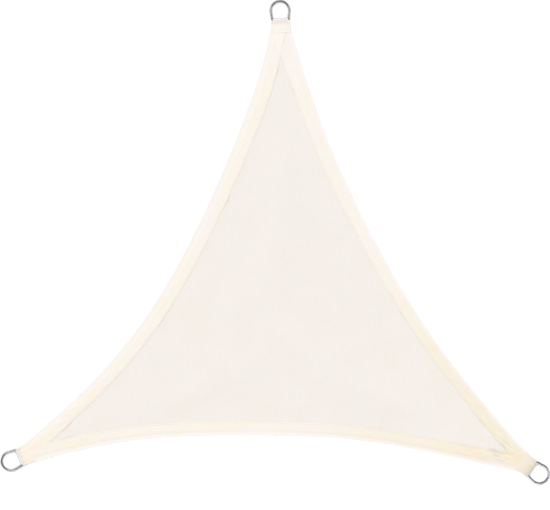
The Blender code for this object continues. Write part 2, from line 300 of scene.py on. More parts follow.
def sagging(edge, start, end, sag):
    """A line along an edge that curves in by sag."""
    chord = end - start
    inwards = left_of(chord) / np.linalg.norm(chord)
    share = np.linspace(0.0, 1.0, CURVE_POINTS)
    bow = 4.0 * sag * share * (1.0 - share) * (1.0 + edge.lean * (1.0 - 2.0 * share))
    wobble = edge.wobble * np.sin(math.tau * edge.waves * share + math.radians(edge.phase_deg))
    ease = smooth(np.minimum(share, 1.0 - share) / WOBBLE_EASE)
    return start + np.outer(share, chord) + np.outer(bow + wobble * ease, inwards)


def run_along(points):
    """How far along a line each of its points lies."""
    return np.concatenate(([0.0], np.cumsum(np.linalg.norm(np.diff(points, axis=0), axis=1))))


def evenly(points, step):
    """The same line with its points about this far apart."""
    run = run_along(points)
    places = np.linspace(0.0, run[-1], max(2, round(run[-1] / step)) + 1)
    return np.stack([np.interp(places, run, values) for values in points.T], 1)


def outer_edge(bars, edge):
    """The fold line of one hem, from the cut end of one corner to that of the next."""
    start, end = CORNER_NAMED[edge.start], CORNER_NAMED[edge.end]
    half = NECK_WIDTH / 2
    first = behind_bar(bars, start, NECK_BACK, half)
    last = behind_bar(bars, end, NECK_BACK, -half)
    curve = sagging(edge, first, last, edge.sag)
    cut_first = behind_bar(bars, start, CUT_BACK, half)
    cut_last = behind_bar(bars, end, CUT_BACK, -half)
    return np.vstack((cut_first, curve, cut_last))


def inner_edge(bars, edge, fold):
    """The inner edge of one hem, between the points of the plain cloth."""
    start = cloth_point(bars, CORNER_NAMED[edge.start], POINT_WIDTH / 2)
    end = cloth_point(bars, CORNER_NAMED[edge.end], -POINT_WIDTH / 2)
    inwards = left_of(end - start) / np.linalg.norm(end - start)
    sag = ((fold - start) @ inwards).max() + edge.hem
    return sagging(edge, start, end, sag)


def ways_in(fold):
    """The way into the cloth at each point of a fold line, eased over its kinks."""
    along = np.gradient(fold, axis=0)
    reach = 4
    padded = np.pad(along, ((reach, reach), (0, 0)), mode="edge")
    window = 2 * reach + 1
    eased = sum(padded[shift : shift + len(fold)] for shift in range(window))
    eased /= np.linalg.norm(eased, axis=1)[:, None]
    return np.stack((-eased[:, 1], eased[:, 0]), axis=1)


def hem_widths(fold, inwards, inner):
    """How far in from each point of the fold line the hem's inner edge lies. Past the
    points of the plain cloth, where two hems lap, a hem keeps the width it has there."""
    widths = np.full(len(fold), np.nan)
    for index, (point, way) in enumerate(zip(fold, inwards)):
        offset = inner - point
        aside = offset @ left_of(way)
        crossings = np.nonzero(aside[:-1] * aside[1:] <= 0.0)[0]
        if len(crossings):
            first = crossings[0]
            share = aside[first] / (aside[first] - aside[first + 1])
            widths[index] = (offset[first] + (offset[first + 1] - offset[first]) * share) @ way
    known = np.nonzero(~np.isnan(widths))[0]
    return np.interp(np.arange(len(fold)), known, widths[known])


class Side:
    """One side of the sail: its fold line, the way in from it, and the width of its hem."""

    def __init__(self, bars, edge):
        self.name, self.order = edge.name, edge.order
        line = outer_edge(bars, edge)
        self.fold = evenly(line, COLUMN)
        self.inwards = ways_in(self.fold)
        columns = np.arange(len(self.fold))
        free = smooth((np.minimum(columns, columns[::-1]) - END_COLUMNS) / END_COLUMNS)
        sway = FOLD_SWAY[0][0] + ripples(self.fold, FOLD_SWAY)
        self.fold = self.fold + self.inwards * (sway * free)[:, None]
        self.width = hem_widths(self.fold, self.inwards, inner_edge(bars, edge, line))
        self.width += free * ripples(self.fold, WIDTH_SWAY)
        self.run = run_along(self.fold)

    def depth_of(self, points):
        """How far inside the fold line each point lies, and the hem's width there."""
        depths, widths = [], []
        for part in np.array_split(points, len(points) // AT_ONCE + 1):
            offset = part[:, None, :] - self.fold[None, :, :]
            nearest = np.argmin((offset**2).sum(axis=2), axis=1)
            offset = offset[np.arange(len(part)), nearest]
            depths.append((offset * self.inwards[nearest]).sum(axis=1))
            widths.append(self.width[nearest])
        return np.concatenate(depths), np.concatenate(widths)


def lay_out():
    """The bars and the sides, placed where the frame has its cloth."""
    bars = bar_centres(np.zeros(2))
    line = np.vstack([outer_edge(bars, edge) for edge in EDGES])
    low, high = (np.array(corner[:2]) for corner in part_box("sail_cloth"))
    shift = (low + high) / 2 - (line.min(axis=0) + line.max(axis=0)) / 2
    bars = bar_centres(shift)
    return bars, [Side(bars, edge) for edge in EDGES], shift


BARS, SIDES, CENTROID = lay_out()


# ================================================================ how the cloth lies
def corner_lift(points):
    """How far the cloth rises onto the lower leg of the nearest strap."""
    lift = np.zeros(len(points))
    for corner in CORNERS:
        offset = BARS[corner.name] - points
        back = offset @ bearing(corner.facing_deg)
        near = np.linalg.norm(offset, axis=1) < 3 * STRAP_LENGTH
        lift = np.maximum(lift, near * (1.0 - smooth((back - LIFT_BACK) / LIFT_RUN)))
    return STRAP_LIFT * lift


def ridge(points, centre, way, form):
    """The height of one long low ridge: a wave, a crease or a pleat."""
    offset = points - centre
    run = offset @ way / form.half_length
    aside = offset @ left_of(way) / form.half_width
    return form.height * np.exp(-(run**2) - aside**2)


def ground(points):
    """The height of the underside of the lowest layer."""
    height, inside = np.zeros(len(points)), np.full(len(points), np.inf)
    edge_wave = EDGE_WAVE * (0.5 + 0.5 * ripple(points, 0.085, 3.1)) ** 2
    bulge = BULGE * (0.5 + np.clip(0.4 + ripple(points, 0.055, 9.1), 0.0, 1.0))
    for side in SIDES:
        depth, width = side.depth_of(points)
        inside = np.minimum(inside, depth - width)
        height += edge_wave * (1.0 - smooth(depth / EDGE_WAVE_RUN))
        height += bulge * np.exp(-(((depth - width - BULGE_BACK) / BULGE_HALF_WIDTH) ** 2))
    waves = sum(layer[0] for layer in SMALL_WAVES) + ripples(points, SMALL_WAVES)
    for wave in WAVES:
        waves += ridge(points, CENTROID + (wave.x, wave.y), bearing(wave.bearing_deg), wave)
    height += smooth(inside / WAVE_CALM) * waves
    for name, creases in CREASES.items():
        corner = CORNER_NAMED[name]
        for crease in map(Crease._make, creases):
            centre = behind_bar(BARS, corner, crease.back, crease.aside)
            height += ridge(points, centre, bearing(corner.facing_deg + crease.turn_deg), crease)
    return height + corner_lift(points)


# Rows across a hem, from the fold line inwards: depth as a share of the hem's width plus an
# offset, the sheets under the upper one, and how far the sewing presses it down.
HemRow = namedtuple("HemRow", "share offset under press", defaults=(0.0,))
HEM_ROWS = (
    *(HemRow(0.0, offset, 1.0) for offset in (0.0030, 0.0070, 0.0115)),
    HemRow(1.0 - TURN_IN, -0.0006, 1.0),
    HemRow(1.0 - TURN_IN, 0.0006, 2.0),
    *(HemRow(share, 0.0, 2.0) for share in (0.42, 0.52, 0.62, 0.72, 0.80)),
    HemRow(1.0, -0.0078, 2.0),
    HemRow(1.0, -SEAM_INSET - 0.0012, 2.0, 0.45),
    HemRow(1.0, -SEAM_INSET, 2.0, 1.0),
    HemRow(1.0, -SEAM_INSET + 0.0012, 2.0, 0.45),
    HemRow(1.0, -0.0020, 2.0),
)
SEWN_ROW = HEM_ROWS.index(HemRow(1.0, -SEAM_INSET, 2.0, 1.0))
# The rows before them go round the fold. Those after them go round the inner edge, and back
# under the hem to the raw edge.
FOLD_TURNS_DEG = (-54.0, -18.0, 18.0, 54.0, 90.0)
UNDER_TURNS_DEG = (60.0, 20.0, -20.0, -60.0)
UNDER_ROWS = ((1.0, -0.0025), (1.0, -0.0060), (1.0, -0.0110), (1.0 - TURN_IN + 0.01, 0.0))


def tightness(points):
    """1 under the straps, where the layers are sewn flat, and 0 away from them."""
    away = [np.linalg.norm(points - bar, axis=1) for bar in BARS.values()]
    return 1.0 - smooth((np.min(away, axis=0) - TIGHT_RADIUS) / TIGHT_RUN)


def far_along(side, along):
    """A place along a hem: a negative one is measured back from the hem's end."""
    return along if along >= 0.0 else side.run[-1] + along


def lips(side, depth):
    """How far the inner edge of a hem stands up off the cloth."""
    height = np.zeros(len(depth))
    near_edge = smooth((depth - side.width + LIP_DEPTH) / LIP_RISE)
    for lip in map(Lip._make, LIPS[side.name]):
        away = (side.run - far_along(side, lip.along)) / lip.half_length
        height += lip.height * np.exp(-(away**4)) * near_edge
    return height


def pleats(side, depth):
    """The height of the pleats that slant across a hem."""
    height = np.zeros(len(depth))
    for pleat in map(Pleat._make, PLEATS[side.name]):
        middle = pleat.depth if pleat.depth >= 0.0 else side.width + pleat.depth
        places = np.column_stack((side.run - far_along(side, pleat.along), depth - middle))
        height += ridge(places, np.zeros(2), bearing(pleat.turn_deg), pleat)
    return height


def puckers(side, depth):
    """Slanted ridges across a hem, stronger towards its ends, between 0 and 1."""
    run, length = side.run, side.run[-1]
    to_end = np.minimum(run, length - run)
    place = run + PUCKER_SLANT * np.where(run < length / 2, depth, -depth)
    lump = sum(
        weight * np.sin(math.tau * place / pitch + side.order * 2.1 + pitch * 900.0)
        for pitch, weight in PUCKER_PITCHES
    )
    peak = np.exp(-((to_end - PUCKER_PEAK) / PUCKER_SPREAD) ** 2)
    strength = PUCKER_LEAST + (1.0 - PUCKER_LEAST) * peak
    patchy = 0.6 + 0.4 * np.sin(math.tau * run / PUCKER_PATCHES + side.order)
    return (0.5 + 0.5 * lump) * strength * patchy


def cover(side, points):
    """How fully one hem covers each point, how fully its raw edge doubles it there, and how
    deep inside its fold the point lies."""
    depth, width = side.depth_of(points)
    covered = smooth((width + HEM_REACH - depth) / HEM_STEP)
    doubled = smooth((depth - (1.0 - TURN_IN) * width) / RAW_STEP)
    return covered, doubled, depth


def laps_under(side, points):
    """The height of the earlier hems that lie under this one, and how many sheets they add."""
    height, sheets = np.zeros(len(points)), np.zeros(len(points))
    for other in SIDES:
        if other.order < side.order:
            covered, doubled, _ = cover(other, points)
            height += covered * LAYER * (1.2 + doubled)
            sheets += covered * (1.0 + doubled)
    return height, sheets


def pile_top(points):
    """The height of the uppermost sheet of the sewn corners."""
    height = ground(points) + CLOTH
    for side in SIDES:
        covered, doubled, depth = cover(side, points)
        folded = 1.0 - smooth((depth - FOLD_DEPTH) / FOLD_STEP)
        height += covered * (LAYER * (1.0 + doubled) + FOLD_FULLNESS * folded)
    return height


# What the points of one row of the cloth carry: their places, their places on the cut, how
# many sheets lie there, how sewn they are, how near the fold, and their places along and
# across the hem on the slant, with the hem's number.
Row = namedtuple("Row", "points flat sheets sewn rim slanted")


class Hem:
    """The turned part of one side, as rows from its fold round to its raw edge."""

    def __init__(self, side):
        self.side, self.rows = side, []
        width = side.width
        for turn in FOLD_TURNS_DEG:
            angle = math.radians(turn)
            depth = np.full(len(width), FOLD_RADIUS * (1.0 - math.cos(angle)))
            self.add(depth, FOLD_RADIUS * (1.0 + math.sin(angle)), settled=0.0)
        for row in HEM_ROWS:
            depth = row.share * width + row.offset
            settled = float(np.clip((depth[0] - FOLD_RADIUS) / SETTLE_RUN, 0.0, 1.0))
            self.add(depth, LAYER * row.under, row.press, settled)
        for turn in UNDER_TURNS_DEG:
            angle = math.radians(turn)
            depth = width - UNDER_RADIUS * (1.0 - math.cos(angle))
            self.add(depth, LAYER + UNDER_RADIUS * (1.0 + math.sin(angle)), puff=0.0)
        for share, offset in UNDER_ROWS:
            self.add(share * width + offset, LAYER, puff=0.0)

    def add(self, depth, rise, press=0.0, settled=1.0, puff=1.0):
        """One row: rise is the height of its middle over that of the lowest sheet, settled
        how far it has come down from the fold, and puff 0 where it lies under the hem."""
        side = self.side
        plan = side.fold + side.inwards * depth[:, None]
        tight = tightness(plan)
        lift, under = laps_under(side, plan)
        if settled == 0.0:
            height = rise * (1.0 - FLATTER_FOLD * tight)
        elif settled < 1.0:
            fall = 2.0 * FOLD_RADIUS * (1.0 - settled) * (1.0 - FLATTER_SETTLE * tight)
            height = np.maximum(rise, fall)
        else:
            across = np.sin(math.pi * np.clip(depth / side.width, 0.0, 1.0)) ** 0.7
            free = smooth(np.minimum(depth, side.width - depth) / PLEAT_EASE)
            loose = PUFF + PUCKER * across * puckers(side, depth) + pleats(side, depth) * free
            pull = SEWING_PULL[0] + SEWING_PULL[1] * ripple(plan, 0.060, 5.5)
            height = rise + (1.0 - press * pull) * (1.0 - FLATTER_HEM * tight) * loose * puff
        z = ground(plan) + CLOTH / 2 + lift + height + lips(side, depth) * (1.0 - tight)
        third = smooth((depth / side.width - (1.0 - TURN_IN)) / THIRD_STEP + 0.5)
        slant = TINT_SLANT * np.where(side.run < side.run[-1] / 2, -depth, depth)
        number = np.full(len(depth), 1 + side.order)
        self.rows.append(Row(
            points=np.column_stack((plan, z)),
            flat=side.fold - side.inwards * depth[:, None],
            sheets=2.0 + third + under,
            sewn=np.full(len(depth), press),
            # How near the fold, for the shade painted along it.
            rim=1.0 - smooth(depth / FOLD_SHADE_DEPTH),
            slanted=np.column_stack((side.run + slant, depth, number)),
        ))


# ================================================================ meshes
def new_object(name, data):
    made = bpy.data.objects.new(name, data)
    bpy.context.scene.collection.objects.link(made)
    return made


def new_piece(name, mesh):
    """A piece that stays with the one body."""
    mesh.shade_smooth()
    piece = new_object(name, mesh)
    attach(piece, "root")
    return piece


def mesh_piece(name, points, faces):
    mesh = bpy.data.meshes.new(name)
    mesh.from_pydata([tuple(map(float, point)) for point in points], [], faces)
    mesh.validate()
    return new_piece(name, mesh)


def thicken(sheet, thickness, group=""):
    """Gives a sheet its thickness, half of it on each face."""
    bpy.ops.object.select_all(action="DESELECT")
    sheet.select_set(True)
    bpy.context.view_layer.objects.active = sheet
    modifier = sheet.modifiers.new("thickness", "SOLIDIFY")
    modifier.thickness, modifier.offset, modifier.vertex_group = thickness, 0.0, group
    bpy.ops.object.modifier_apply(modifier=modifier.name)
    sheet.data.shade_smooth()


def set_flat_map(mesh, flat):
    """A UV map in metres of the cloth as it was cut."""
    layer = mesh.uv_layers.new(name="flat_cloth")
    corners = np.empty(len(mesh.loops), dtype=np.int32)
    mesh.loops.foreach_get("vertex_index", corners)
    layer.data.foreach_set("uv", np.asarray(flat, dtype=np.float32)[corners].ravel())


def set_attribute(mesh, name, values):
    """A number or a vector for each point."""
    values = np.asarray(values, dtype=np.float32)
    kind, field = ("FLOAT", "value") if values.ndim == 1 else ("FLOAT_VECTOR", "vector")
    mesh.attributes.new(name, kind, "POINT").data.foreach_set(field, values.ravel())


def hexagonal(low, high, step):
    """Points of an even triangular grid over a box."""
    rows = []
    rise = step * math.sqrt(0.75)
    for number in range(int((high[1] - low[1]) / rise) + 1):
        xs = np.arange(low[0] + (number % 2) * step / 2, high[0], step)
        rows.append(np.column_stack((xs, np.full(len(xs), low[1] + number * rise))))
    return np.vstack(rows)


def lowest_sheet():
    """The whole cut up to its fold lines: points, faces, and the points that lie along each
    of the three fold lines."""
    outline, starts = [], []
    for side, following in zip(SIDES, SIDES[1:] + SIDES[:1]):
        starts.append(sum(map(len, outline)))
        rim, next_rim = (each.fold + each.inwards * FOLD_RADIUS for each in (side, following))
        outline += [rim, evenly(np.vstack((rim[-1], next_rim[0])), COLUMN)[1:-1]]
    outline = np.vstack(outline)
    low, high = outline.min(axis=0), outline.max(axis=0)
    beside = np.vstack([
        side.fold + side.inwards * (side.width + offset)[:, None]
        for side in SIDES for offset in BESIDE_HEM
    ])
    margins = [np.subtract(*side.depth_of(beside)) for side in SIDES]
    inside = [beside[np.min(margins, axis=0) > 1.2 * BESIDE_HEM[0]]]
    for step, plain in ((BODY_STEP, True), (HIDDEN_STEP, False)):
        grid = hexagonal(low, high, step)
        depths, widths = zip(*(side.depth_of(grid) for side in SIDES))
        margin = np.min(np.subtract(depths, widths), axis=0)
        backs = [
            (BARS[corner.name] - grid) @ bearing(corner.facing_deg) - CUT_BACK for corner in CORNERS
        ]
        least = np.min((*depths, *backs), axis=0)
        under = (margin <= -HIDDEN_GAP) & (least > FOLD_GAP)
        inside.append(grid[margin > BESIDE_HEM[-1] + MESH_GAP if plain else under])
    points = [Vector(point) for point in np.vstack((outline, *inside))]
    made = delaunay_2d_cdt(points, [], [list(range(len(outline)))], 1, 1e-6)
    place = {source: index for index, sources in enumerate(made[3]) for source in sources}
    folds = [
        [place[start + column] for column in range(len(side.fold))]
        for start, side in zip(starts, SIDES)
    ]
    return np.array([tuple(point) for point in made[0]]), [tuple(face) for face in made[2]], folds


def make_sail():
    """The cut with its three hems turned over, as one sheet."""
    plan, faces, folds = lowest_sheet()
    count = len(plan)
    none = np.zeros(count)
    plain = np.column_stack((plan, ground(plan) + CLOTH / 2))
    rows = [Row(plain, plan, none + 1.0, none, none, np.zeros((count, 3)))]
    hems = [Hem(side) for side in SIDES]
    for hem, before in zip(hems, folds):
        for _ in hem.rows:
            after = list(range(count, count + len(before)))
            count += len(before)
            faces += zip(after, after[1:], before[1:], before)
            before = after
        rows += hem.rows
    whole = Row(*(np.concatenate(values) for values in zip(*rows)))
    sail = mesh_piece("sail", whole.points, faces)
    set_flat_map(sail.data, whole.flat)
    for name in ("sheets", "sewn", "rim", "slanted"):
        set_attribute(sail.data, name, getattr(whole, name))
    thicken(sail, CLOTH)
    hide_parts("sail_cloth")
    return sail, hems


# ================================================================ sewing
HEM_STITCH = (0.0046, 0.0009, 0.0007)  # length, width and height
HEM_STITCH_PITCH = 0.0062
STRAP_STITCH = (0.0034, 0.0009, 0.0007)
STRAP_STITCH_PITCH = 0.0046
STITCH_TURN_DEG = (3.0, 9.0)  # each stitch lies a little across its row
STITCH_STRAY = 0.00015  # and beside it
THREAD_RISE = 0.00012  # of a stitch's middle over the cloth


def stitch_form(length, width, height):
    """One stitch of thread: a small ball drawn out along x."""
    bpy.ops.object.select_all(action="DESELECT")
    bpy.ops.mesh.primitive_uv_sphere_add(segments=6, ring_count=5, radius=0.5)
    form = bpy.context.active_object
    bpy.ops.object.mode_set(mode="EDIT")
    bpy.ops.mesh.select_all(action="SELECT")
    bpy.ops.transform.rotate(value=math.pi / 2, orient_axis="Y", center_override=(0, 0, 0))
    bpy.ops.transform.resize(value=(length, width, height))
    bpy.ops.object.mode_set(mode="OBJECT")
    points = np.array([vertex.co for vertex in form.data.vertices])
    faces = [tuple(face.vertices) for face in form.data.polygons]
    bpy.data.objects.remove(form, do_unlink=True)
    return points, faces


def level_left(way):
    """The level way to the left of a way."""
    return Vector((-way.y, way.x, 0.0)).normalized()


def sew(name, form, lines, pitch, seed):
    """Rows of stitches along lines that lie on the cloth, joined into one piece."""
    draw = random.Random(seed)
    form_points, form_faces = form
    points, faces = [], []
    for line in lines:
        places = evenly(np.asarray(line), pitch)
        for start, end in zip(places, places[1:]):
            along = Vector(end - start).normalized()
            turn = math.radians(draw.uniform(*STITCH_TURN_DEG))
            along = (along * math.cos(turn) + level_left(along) * math.sin(turn)).normalized()
            aside = level_left(along)
            axes = np.array((along, aside, along.cross(aside)))
            centre = (start + end) / 2 + np.array(aside) * draw.uniform(-STITCH_STRAY, STITCH_STRAY)
            base = len(points) * len(form_points)
            points.append(form_points @ axes + centre)
            faces += [tuple(base + index for index in face) for face in form_faces]
    return mesh_piece(name, np.vstack(points), faces)


def sew_hems(hems):
    """One row of stitches along the inner edge of each hem."""
    form = stitch_form(*HEM_STITCH)
    pieces = []
    for hem in hems:
        row = hem.rows[len(FOLD_TURNS_DEG) + SEWN_ROW].points + (0.0, 0.0, CLOTH / 2 + THREAD_RISE)
        name = f"hem_sewing_{hem.side.name}"
        pieces.append(sew(name, form, [row[2:-2]], HEM_STITCH_PITCH, hem.side.order))
    return pieces


# ================================================================ straps
STRAP_COLUMNS = 56
# Light and shade painted on each strap at distances behind the bar, in millimetres: how far
# its colour is darkened or lightened, and how far its cream is painted towards grey. The
# painted shade is darkest at the front of its fold.
STRAP_PAINTED_SHADE = {
    "top": (
        (-6, 0.36, 0.9), (-4.6, 0.44, 0.9), (-3.6, 0.66, 0.8), (-2, 0.90, 0.6), (-1, 0.96, 0.5),
        (2, 0.94, 0.2), (5, 0.975, 0.0), (8, 1.015, 0.0), (14, 1.035, 0.0), (18, 1.0, 0.0),
        (38, 1.01, 0.0), (44, 1.03, 0.0),
    ),
    "left": (
        (-6, 0.46, 1.0), (-4.6, 0.52, 1.0), (-3.6, 0.75, 1.0), (-2, 0.875, 1.0), (-1, 0.90, 1.0),
        (2, 0.875, 0.9), (5, 0.90, 0.5), (8, 0.925, 0.2), (11, 0.955, 0.0), (14, 0.965, 0.0),
        (18, 0.975, 0.0), (30, 1.0, 0.0),
    ),
    "right": (
        (-6, 0.84, 0.5), (-5, 0.87, 0.5), (-4, 0.87, 0.5), (-3, 0.86, 0.4), (-1, 0.77, 0.3),
        (2, 0.72, 0.1), (5, 0.835, 0.0), (8, 0.855, 0.0), (11, 0.85, 0.0), (14, 0.875, 0.0),
        (18, 0.935, 0.0), (22, 0.98, 0.0), (30, 1.01, 0.0), (44, 1.0, 0.0),
    ),
}
STRAP_ROWS_BACK = (0.023, 0.029, 0.035, 0.041)  # sewing across it, behind the bar
SHOWN_FOLD_ROWS = 8  # of its mesh, in the front of the fold, that are seen from above
# Painted shade on the rows of the strap that are not seen from above.
UNSHOWN_PAINTED_SHADE = 0.75
THIN_END = 0.25  # share of the thickness at its two ends
THIN_RUN = 0.006
GATHER = 0.0011  # height of the gathers behind the fold
TURNED_EDGE = 0.00012  # how much higher its turned edges stand
SEWN_DENT = 0.00015
EDGE_WAVER = 0.0004  # of its two long edges
END_WAVER = 0.0008
BAR_CLEARANCE = 0.0005  # between the cloth and the wire


def strap_profile():
    """The strap's middle line from the end of its lower leg, round the bar, to the end of
    its upper leg: distance in front of the bar, and height."""
    half = STRAP_THICKNESS / 2
    bend = WIRE / 2 + BAR_CLEARANCE + half
    low = BAR_HEIGHT - bend
    shares = np.linspace(0.0, 1.0, 15)[:-1]
    lower = np.column_stack((-STRAP_LENGTH * (1.0 - shares), half + (low - half) * smooth(shares)))
    angles = np.linspace(-math.pi / 2, math.pi / 2, 15)
    fold = np.column_stack((bend * np.cos(angles), BAR_HEIGHT + bend * np.sin(angles)))
    top = BAR_HEIGHT + bend
    shares = np.linspace(0.0, 1.0, 43)[1:]
    back = STRAP_LENGTH * shares
    fall = (STRAP_REST - top) * smooth(back / STRAP_SETTLE)
    upper = np.column_stack((-back, top + fall))
    return np.vstack((lower, fold, upper)), len(lower) + len(fold)


def strap_half_width(front):
    """Drawn in between the ring's legs, and spread out to the full width behind the bar."""
    places = (-STRAP_FLARE, -0.0065, 0.0, 0.0025, 0.0060)
    widths = (STRAP_WIDTH, 0.0665, 0.0560, STRAP_FOLD_WIDTH, STRAP_FOLD_WIDTH)
    return float(np.interp(front, places, widths)) / 2


def waver(share, seed):
    """A slow wave across a strap, between -1 and 1."""
    return np.sin(share * 5.0 + seed)


def strap_gathers(back, share, seed):
    """The gathers just behind the fold, between -1 and 1 across the strap, where share runs
    from -1 to 1; and how far they are squeezed together."""
    place = share * math.pi + 0.3 * waver(share, seed)
    gathers = 0.6 * np.sin(place * 4.4 + seed * 1.7) + 0.4 * np.sin(place * 9.7 + seed * 2.9)
    return gathers, smooth((back - 0.001) / 0.006) * (1.0 - smooth((back - 0.011) / 0.006))


def strap_relief(front, share, seed):
    """Height of the gathers, the turned edges and the sewn rows of the upper leg; and how
    sewn it is."""
    back = -front
    gathers, squeezed = strap_gathers(back, share, seed)
    height = (GATHER * gathers - 0.0003) * squeezed
    turned = smooth((np.abs(share) - 0.80) / 0.04) + smooth((back - 0.0435) / 0.0012)
    height = height + TURNED_EDGE * np.minimum(turned, 1.0)
    pressed = sum(np.exp(-(((back - row) / 0.0011) ** 2)) for row in STRAP_ROWS_BACK)
    pressed = pressed * (1.0 - smooth((np.abs(share) - 0.90) / 0.05))
    return height - SEWN_DENT * pressed, pressed


def on_corner(corner, plan, back, height):
    """The height of the upper leg's middle where it has come down onto the sewn corner."""
    thickness = STRAP_THICKNESS / 2 * (1.0 - 0.7 * smooth((back - 0.040) / 0.008))
    rest = pile_top(plan) + thickness + 0.0001
    settled = smooth((back - CUT_BACK) / (STRAP_SETTLE - CUT_BACK))
    return height * (1.0 - settled) + rest * settled


def strap_places(corner, front, aside, height):
    """Places in front of a ring's bar and to its left, all at one height."""
    facing = bearing(corner.facing_deg)
    plan = BARS[corner.name] + np.outer(front, facing) + np.outer(aside, left_of(facing))
    return np.column_stack((plan, np.full(len(plan), height)))


def make_strap(corner, seed):
    """A sheet bent round the bar, drawn in at its fold and gathered behind it."""
    profile, upper_start = strap_profile()
    shares = np.linspace(-1.0, 1.0, STRAP_COLUMNS + 1)
    points, flat = [], []
    values = {"sewn": [], "painted_light_and_shade": [], "painted_grey_shade": []}
    shade_back, painted_light_levels, painted_grey_levels = zip(*STRAP_PAINTED_SHADE[corner.name])
    run = run_along(profile)
    for row, (front, height) in enumerate(profile):
        half = strap_half_width(front) + EDGE_WAVER * math.sin(front * 260.0 + seed)
        skew = END_WAVER * waver(shares, seed) * smooth(-front / STRAP_LENGTH)
        places = strap_places(corner, front - skew, shares * half, height)
        pressed = np.zeros(len(shares))
        if row >= upper_start:
            relief, pressed = strap_relief(front, shares, seed)
            places[:, 2] = on_corner(corner, places[:, :2], -front, height) + relief
        points += list(places)
        flat += [(share * STRAP_WIDTH / 2, run[row]) for share in shares]
        back = -front * 1000.0
        # The strap's colour carries painted light and shade: from the table above, a fixed painted
        # shade where it doesn't show, and painted highlights and shade along the gathers.
        shown = row >= upper_start - SHOWN_FOLD_ROWS
        light = np.interp(back, shade_back, painted_light_levels) if shown else UNSHOWN_PAINTED_SHADE
        gathers, squeezed = strap_gathers(-front, shares, seed)
        values["sewn"] += list(pressed)
        values["painted_light_and_shade"] += list(light * (1.0 + 0.06 * gathers * squeezed))
        values["painted_grey_shade"] += [np.interp(back, shade_back, painted_grey_levels)] * len(shares)
    across = len(shares)
    faces = [
        (first, first + 1, first + across + 1, first + across)
        for row in range(len(profile) - 1)
        for first in range(row * across, row * across + STRAP_COLUMNS)
    ]
    strap = mesh_piece(f"corner_strap_{corner.name}", points, faces)
    set_flat_map(strap.data, flat)
    for name, numbers in values.items():
        set_attribute(strap.data, name, numbers)
    thinning = strap.vertex_groups.new(name="thinning")
    for index, (front, _) in enumerate(np.repeat(profile, len(shares), axis=0)):
        to_end = STRAP_LENGTH + front
        thickness = THIN_END + (1.0 - THIN_END) * float(smooth(to_end / THIN_RUN))
        thinning.add([index], thickness, "REPLACE")
    thicken(strap, STRAP_THICKNESS, thinning.name)
    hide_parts(f"strap_{corner.name}")
    return strap, run[-1]


def sew_strap(corner, seed):
    """The rows across the upper leg, and one along each of its turned edges."""
    profile, upper_start = strap_profile()
    upper = profile[upper_start:]
    lines = []

    def on_top(back, share):
        height = np.interp(back, -upper[:, 0], upper[:, 1])
        relief, _ = strap_relief(-back, share, seed)
        aside = share * strap_half_width(-back)
        place = strap_places(corner, np.array([-back]), np.array([aside]), height)
        place[:, 2] = on_corner(corner, place[:, :2], back, height)
        return place[0] + (0.0, 0.0, relief + STRAP_THICKNESS / 2 + 0.0001)

    for back in STRAP_ROWS_BACK:
        lines.append([on_top(back, share) for share in np.linspace(-0.90, 0.90, 30)])
    for share in (-0.84, 0.84):
        lines.append([on_top(back, share) for back in np.linspace(0.020, 0.0455, 14)])
    name = f"strap_sewing_{corner.name}"
    return sew(name, stitch_form(*STRAP_STITCH), lines, STRAP_STITCH_PITCH, seed)


# ================================================================ rings
def ring_form():
    """A closed D of round wire, lying flat with its bar along x through the origin: a
    circle of wire is spun round each bend and drawn along each straight."""
    radius = (RING_WIDTH - WIRE) / 2
    crown_y = RING_HEIGHT - WIRE - radius
    lean = math.radians(RING_LEAN_DEG)
    reach = radius - RING_CORNER_RADIUS + (RING_CORNER_RADIUS - crown_y) * math.sin(lean)
    corner_x = reach / math.cos(lean)
    turn = math.pi / 2 - lean
    outwards = Vector((math.cos(lean), -math.sin(lean), 0.0))
    leg_start = Vector((corner_x, RING_CORNER_RADIUS, 0.0)) + outwards * RING_CORNER_RADIUS
    leg_end = Vector((0.0, crown_y, 0.0)) + outwards * radius
    leg = leg_end - leg_start
    bpy.ops.object.select_all(action="DESELECT")
    across_x = (0.0, math.pi / 2, 0.0)
    bpy.ops.mesh.primitive_circle_add(vertices=28, radius=WIRE / 2, rotation=across_x)
    ring = bpy.context.active_object
    bpy.ops.object.transform_apply(location=True, rotation=True, scale=True)
    bpy.ops.object.mode_set(mode="EDIT")
    bpy.ops.mesh.select_mode(type="EDGE")
    bpy.ops.mesh.select_all(action="SELECT")

    def draw_out(step):
        bpy.ops.mesh.extrude_region_move(TRANSFORM_OT_translate={"value": step})

    def bend(centre, angle, steps):
        bpy.ops.mesh.spin(steps=steps, angle=angle, center=centre, axis=(0.0, 0.0, -1.0))

    draw_out((corner_x, 0.0, 0.0))
    bend((corner_x, RING_CORNER_RADIUS, 0.0), turn, 9)
    draw_out(leg)
    bend((0.0, crown_y, 0.0), math.pi + 2 * lean, 72)
    draw_out((leg.x, -leg.y, 0.0))
    bend((-corner_x, RING_CORNER_RADIUS, 0.0), turn, 9)
    draw_out((corner_x, 0.0, 0.0))
    bpy.ops.mesh.select_all(action="SELECT")
    bpy.ops.mesh.remove_doubles(threshold=0.00002)
    bpy.ops.mesh.normals_make_consistent(inside=False)
    bpy.ops.object.mode_set(mode="OBJECT")
    return ring


def make_ring(corner, form):
    """One ring, tilted down from its bar until its crown lies on the floor."""
    mesh = form.data.copy()
    drop = math.asin((BAR_HEIGHT - WIRE / 2) / (RING_HEIGHT - WIRE))
    place = Matrix.Translation((*BARS[corner.name], BAR_HEIGHT))
    turn = Matrix.Rotation(math.radians(corner.facing_deg - 90.0), 4, "Z")
    mesh.transform(place @ turn @ Matrix.Rotation(-drop, 4, "X"))
    ring = new_piece(f"steel_ring_{corner.name}", mesh)
    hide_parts(f"d_ring_{corner.name}")
    return ring


